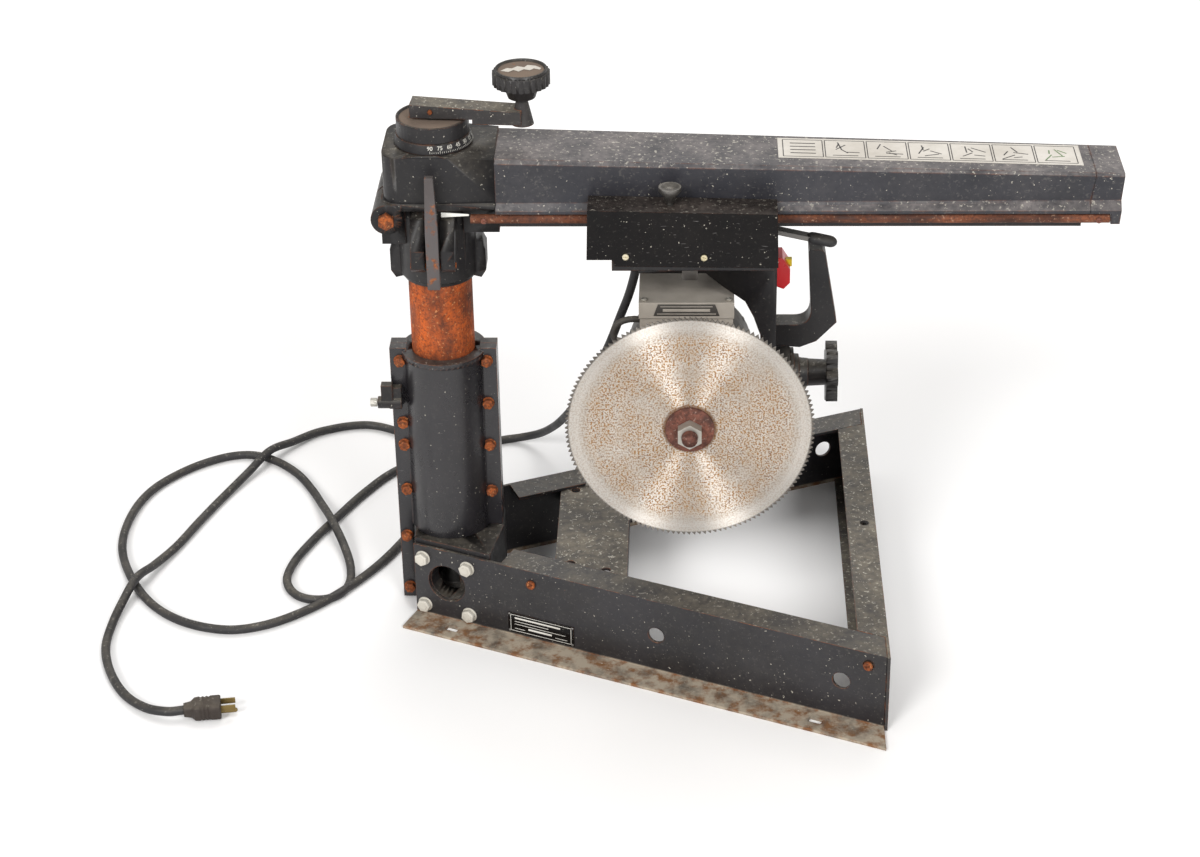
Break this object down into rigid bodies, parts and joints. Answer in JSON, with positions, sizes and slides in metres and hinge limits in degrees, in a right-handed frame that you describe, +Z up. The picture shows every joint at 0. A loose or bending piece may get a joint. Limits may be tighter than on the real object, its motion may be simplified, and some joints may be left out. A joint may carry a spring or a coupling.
{
  "type": "radial arm saw",
  "caption": "Radial arm saw on a splayed pressed-steel base frame: a column with a lift crank carries a swinging arm, and a motor with an exposed blade rolls along it.",
  "frame": {"origin": "floor level, under the middle of the box around the saw without its cord", "axes": "+X along the arm from the column to the operator, +Z up, +Y to the left of someone who looks along +X from above the crank"},
  "size_m": [1.0827, 0.6562, 0.6208],
  "materials": {
    "frame_paint": "charcoal semi-gloss paint, dusty, rust at edges",
    "cast_paint": "dark painted casting, dusty",
    "gloss_black": "gloss black enamel, scratched",
    "rusted_steel": "surface rust over bare steel",
    "bare_steel": "bare steel, dull, rust specks",
    "zinc": "zinc plate, dull",
    "aluminium": "cast and folded aluminium, stained",
    "blade_steel": "radially ground steel with rust speckle",
    "black_plastic": "moulded, worn",
    "rubber": "moulded rubber, dusty",
    "red_plastic": "gloss",
    "yellow_plastic": "gloss"
  },
  "bodies": {
    "base": {"left_rail": "frame_paint", "right_rail": "frame_paint", "front_rail": "frame_paint", "cross_member": "frame_paint", "base_casting": "cast_paint", "support_left_half": "frame_paint", "support_right_half": "frame_paint", "gib_bracket": "cast_paint", "gib_screw": "zinc", "elevation_nut": "bare_steel", "cord_hanging": "rubber", "cord_lying": "rubber", "plug": "rubber"},
    "column": {"column_tube": "rusted_steel", "index_ring": "cast_paint", "index_cap": "cast_paint"},
    "crank": {"elevation_screw": "bare_steel", "crank_arm": "frame_paint", "crank_pin": "rusted_steel"},
    "crank_knob": {"crank_knob": "black_plastic"},
    "arm": {"arm_head": "cast_paint", "arm_beam": "cast_paint", "arm_cover": "frame_paint", "arm_end_cap": "cast_paint", "track_rod_left": "rusted_steel", "track_rod_right": "rusted_steel", "clamp_bolt": "rusted_steel", "lever_pin": "rusted_steel"},
    "arm_lock_lever": {"arm_lock_lever": "bare_steel"},
    "carriage": {"carriage_body": "cast_paint", "carriage_cover_left": "gloss_black", "carriage_cover_right": "gloss_black", "cover_stud_left": "bare_steel", "cover_stud_right": "bare_steel"},
    "roller_rear_left": {"roller_rear_left": "bare_steel"},
    "roller_front_left": {"roller_front_left": "bare_steel"},
    "roller_rear_right": {"roller_rear_right": "bare_steel"},
    "roller_front_right": {"roller_front_right": "bare_steel"},
    "swivel_lever": {"swivel_lever": "bare_steel", "swivel_grip": "rubber"},
    "yoke": {"yoke": "cast_paint", "kingpin": "bare_steel", "handle": "cast_paint", "cord_gland": "rubber"},
    "power_switch": {"power_switch": "red_plastic"},
    "safety_key": {"safety_key": "yellow_plastic"},
    "bevel_knob": {"bevel_knob": "black_plastic"},
    "motor": {"motor_housing": "aluminium", "motor_front_bell": "aluminium", "motor_rear_bell": "aluminium", "stator": "bare_steel", "terminal_box": "cast_paint", "terminal_cover": "aluminium", "motor_lead": "rubber", "bevel_stud": "zinc"},
    "arbor": {"arbor_shaft": "bare_steel", "inner_flange": "bare_steel", "saw_blade": "blade_steel", "outer_flange": "rusted_steel", "arbor_nut": "zinc"}
  },
  "joints": [
    {"name": "elevation", "type": "slide", "parent": "base", "child": "column", "axis": [0, 0, 1], "range_m": [-0.044, 0.079], "deforming": ["cord_hanging"]},
    {"name": "crank_turn", "type": "hinge", "parent": "column", "child": "crank", "pos_m": [-0.3053, 0, 0.57], "axis": [0, 0, -1], "range_deg": [-5040, 9000]},
    {"name": "crank_knob_spin", "type": "hinge", "parent": "crank", "child": "crank_knob", "pos_m": [-0.21452, -0.00635, 0.59], "axis": [0, 0, 1], "continuous": true},
    {"name": "arm_swing", "type": "hinge", "parent": "column", "child": "arm", "pos_m": [-0.3053, 0, 0.47], "axis": [0, 0, 1], "range_deg": [-90, 90]},
    {"name": "arm_lock", "type": "hinge", "parent": "arm", "child": "arm_lock_lever", "pos_m": [-0.3053, -0.055, 0.428], "axis": [1, 0, 0], "range_deg": [0, 30]},
    {"name": "carriage_travel", "type": "slide", "parent": "arm", "child": "carriage", "axis": [1, 0, 0], "range_m": [-0.05, 0.3]},
    {"name": "roller_rear_left_spin", "type": "hinge", "parent": "carriage", "child": "roller_rear_left", "pos_m": [-0.1193, -0.05866, 0.4746], "axis": [0, 0, 1], "continuous": true},
    {"name": "roller_front_left_spin", "type": "hinge", "parent": "carriage", "child": "roller_front_left", "pos_m": [0.0207, -0.05866, 0.4746], "axis": [0, 0, 1], "continuous": true},
    {"name": "roller_rear_right_spin", "type": "hinge", "parent": "carriage", "child": "roller_rear_right", "pos_m": [-0.1193, 0.05866, 0.4746], "axis": [0, 0, 1], "continuous": true},
    {"name": "roller_front_right_spin", "type": "hinge", "parent": "carriage", "child": "roller_front_right", "pos_m": [0.0207, 0.05866, 0.4746], "axis": [0, 0, 1], "continuous": true},
    {"name": "yoke_swivel", "type": "hinge", "parent": "carriage", "child": "yoke", "pos_m": [-0.0473, 0, 0.43], "axis": [0, 0, 1], "range_deg": [-90, 90]},
    {"name": "swivel_lock", "type": "hinge", "parent": "carriage", "child": "swivel_lever", "pos_m": [-0.0473, 0, 0.438], "axis": [0, 0, 1], "range_deg": [-25, 0]},
    {"name": "bevel_tilt", "type": "hinge", "parent": "yoke", "child": "motor", "pos_m": [0.0397, 0, 0.276], "axis": [1, 0, 0], "range_deg": [0, 90]},
    {"name": "bevel_knob_turn", "type": "hinge", "parent": "yoke", "child": "bevel_knob", "pos_m": [0.0847, 0, 0.276], "axis": [1, 0, 0], "range_deg": [0, 180]},
    {"name": "power_switch_rocker", "type": "hinge", "parent": "yoke", "child": "power_switch", "pos_m": [0.041, -0.004, 0.417], "axis": [0, -1, 0], "range_deg": [0, 20]},
    {"name": "safety_key_pull", "type": "slide", "parent": "power_switch", "child": "safety_key", "axis": [1, 0, 0], "range_m": [0, 0.012]},
    {"name": "arbor_spin", "type": "hinge", "parent": "motor", "child": "arbor", "pos_m": [-0.0473, -0.1, 0.272], "axis": [0, 1, 0], "continuous": true}
  ],
  "couplings": [
    {"joint": "crank_turn", "follows": "elevation", "rad_per_m": 1979},
    {"joint": "roller_rear_left_spin", "follows": "carriage_travel", "rad_per_m": 104.17},
    {"joint": "roller_front_left_spin", "follows": "carriage_travel", "rad_per_m": 104.17},
    {"joint": "roller_rear_right_spin", "follows": "carriage_travel", "rad_per_m": -104.17},
    {"joint": "roller_front_right_spin", "follows": "carriage_travel", "rad_per_m": -104.17}
  ]
}
